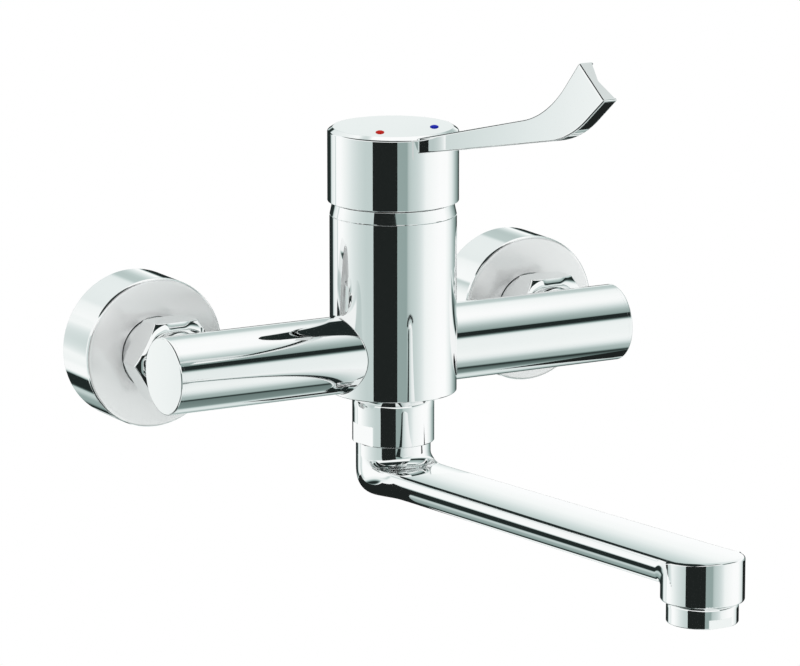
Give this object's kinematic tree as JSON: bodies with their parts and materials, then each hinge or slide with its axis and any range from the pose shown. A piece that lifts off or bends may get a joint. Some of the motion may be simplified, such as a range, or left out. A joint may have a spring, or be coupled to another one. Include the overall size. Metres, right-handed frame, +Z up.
{
  "type": "wall-mounted sink mixer",
  "caption": "Chrome wall mixer: cross bar on wall unions, upright body, cap with a long upright fin lever, flat-topped swivel spout with aerator.",
  "frame": {"origin": "wall plane, midway between the two inlet axes, at the height of the cross bar's axis", "axes": "+Y into the wall, +Z up, +X along the wall so that the hot inlet is at -X"},
  "size_m": [0.2024, 0.2825, 0.1716],
  "materials": {
    "chrome": "polished chrome plate",
    "rubber": "matte",
    "steel": "satin",
    "brass": "machined",
    "white_plastic": "moulded",
    "grey_plastic": "moulded",
    "ceramic": "lapped ceramic",
    "limiter_red": "moulded",
    "hot_red": "gloss",
    "cold_blue": "gloss"
  },
  "bodies": {
    "mixer_body": {"body_casting": "chrome", "left_end_cover": "chrome", "right_end_cover": "chrome", "left_inlet_nipple": "chrome", "right_inlet_nipple": "chrome", "left_union_nut": "chrome", "right_union_nut": "chrome", "left_washer": "rubber", "right_washer": "rubber", "left_strainer": "steel", "right_strainer": "steel", "left_connector": "chrome", "right_connector": "chrome", "left_escutcheon": "chrome", "right_escutcheon": "chrome", "left_check_valve": "white_plastic", "right_check_valve": "white_plastic", "left_check_spring": "steel", "right_check_spring": "steel", "cartridge_base": "grey_plastic", "port_seals": "rubber", "fixed_disc": "ceramic", "cartridge_housing": "grey_plastic", "temperature_limiter": "limiter_red", "retaining_nut": "brass", "trim_ring": "chrome", "collar_nut": "chrome"},
    "left_poppet": {"left_check_poppet": "grey_plastic"},
    "right_poppet": {"right_check_poppet": "grey_plastic"},
    "rotor": {"cartridge_rotor": "white_plastic", "tilt_pin": "steel"},
    "slider": {"disc_carrier": "white_plastic", "moving_disc": "ceramic"},
    "handle": {"lever_stem": "steel", "lever_handle": "chrome", "grub_screw": "steel", "hot_mark": "hot_red", "cold_mark": "cold_blue"},
    "spout_arm": {"spout": "chrome", "spout_seals": "rubber", "spout_clip": "white_plastic", "aerator_shell": "chrome", "aerator_insert": "white_plastic", "aerator_washer": "rubber"}
  },
  "joints": [
    {"name": "temperature_turn", "type": "hinge", "parent": "mixer_body", "child": "rotor", "pos_m": [0, -0.053, 0.044], "axis": [0, 0, 1], "range_deg": [-45, 45]},
    {"name": "flow_lift", "type": "hinge", "parent": "rotor", "child": "handle", "pos_m": [0, -0.053, 0.044], "axis": [-1, 0, 0], "range_deg": [0, 25]},
    {"name": "disc_slide", "type": "slide", "parent": "rotor", "child": "slider", "axis": [0, -1, 0], "range_m": [0, 0.0039]},
    {"name": "spout_swivel", "type": "hinge", "parent": "mixer_body", "child": "spout_arm", "pos_m": [0, -0.053, 0], "axis": [0, 0, 1], "range_deg": [-90, 90]},
    {"name": "left_check_open", "type": "slide", "parent": "mixer_body", "child": "left_poppet", "axis": [0, -1, 0], "range_m": [0, 0.0025], "stiffness_N_per_m": 60, "springref_m": -0.002, "deforming": ["left_check_spring"]},
    {"name": "right_check_open", "type": "slide", "parent": "mixer_body", "child": "right_poppet", "axis": [0, -1, 0], "range_m": [0, 0.0025], "stiffness_N_per_m": 60, "springref_m": -0.002, "deforming": ["right_check_spring"]}
  ],
  "couplings": [
    {"joint": "disc_slide", "follows": "flow_lift", "m_per_rad": 0.0088}
  ]
}
